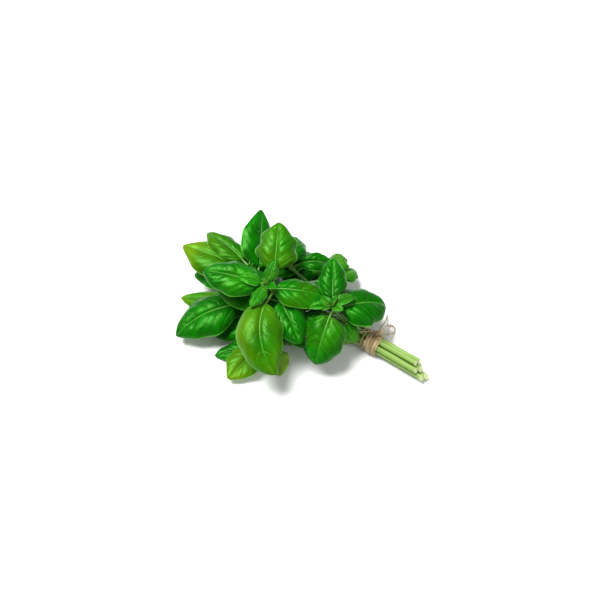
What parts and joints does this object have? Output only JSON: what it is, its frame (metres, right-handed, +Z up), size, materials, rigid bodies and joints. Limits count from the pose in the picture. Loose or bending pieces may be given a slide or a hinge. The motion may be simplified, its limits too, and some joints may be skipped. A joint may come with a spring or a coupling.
{
  "type": "basil bunch",
  "caption": "Freshly cut basil sprigs with glossy cupped leaves, tied together round their stems with thin natural twine and laid down on their side.",
  "frame": {"origin": "middle of the surface the bunch lies on, under the middle of its box, the loose twine left out", "axes": "+X along the tied stems towards their cut ends, +Y to the far side with the cut ends on the right, +Z up"},
  "size_m": [0.2406, 0.1562, 0.0721],
  "materials": {
    "leaf": "fresh basil leaf: waxy, satin to glossy, quilted between its veins",
    "young_leaf": "young basil leaf: lighter green, satin",
    "stem": "fresh green stem: smooth, softly ridged, paler at its cut end",
    "twine": "dry natural jute twine"
  },
  "bodies": {
    "root": {"stem_crown": "stem", "stem_short": "stem", "stem_far_left": "stem", "stem_back": "stem", "stem_right": "stem", "stem_near_left": "stem", "stem_near": "stem", "twine_wrap": "twine", "twine_knot": "twine", "twine_loop_right": "twine", "twine_loop_left": "twine", "twine_tail": "twine", "leaf_crown_1": "leaf", "leaf_crown_2": "leaf", "leaf_crown_3": "leaf", "leaf_crown_4": "leaf", "leaf_crown_5": "young_leaf", "leaf_crown_6": "young_leaf", "leaf_crown_7": "young_leaf", "leaf_crown_8": "leaf", "leaf_crown_9": "leaf", "leaf_crown_10": "leaf", "leaf_crown_11": "leaf", "leaf_crown_12": "leaf", "leaf_crown_13": "leaf", "leaf_short_1": "leaf", "leaf_short_2": "leaf", "leaf_short_3": "leaf", "leaf_short_4": "leaf", "leaf_short_5": "young_leaf", "leaf_short_6": "young_leaf", "leaf_short_7": "young_leaf", "leaf_short_8": "leaf", "leaf_short_9": "leaf", "leaf_far_left_1": "leaf", "leaf_far_left_2": "leaf", "leaf_far_left_3": "leaf", "leaf_far_left_4": "leaf", "leaf_far_left_5": "leaf", "leaf_far_left_6": "leaf", "leaf_far_left_7": "leaf", "leaf_far_left_8": "leaf", "leaf_far_left_9": "leaf", "leaf_back_1": "leaf", "leaf_back_2": "leaf", "leaf_back_3": "leaf", "leaf_back_4": "leaf", "leaf_right_1": "young_leaf", "leaf_right_2": "young_leaf", "leaf_right_3": "leaf", "leaf_right_4": "young_leaf", "leaf_near_left_1": "leaf", "leaf_near_left_2": "leaf", "leaf_near_left_3": "leaf", "leaf_near_left_4": "leaf", "leaf_near_left_5": "leaf", "leaf_near_1": "leaf", "leaf_near_2": "leaf", "leaf_near_3": "young_leaf", "leaf_near_4": "leaf"}
  },
  "joints": []
}
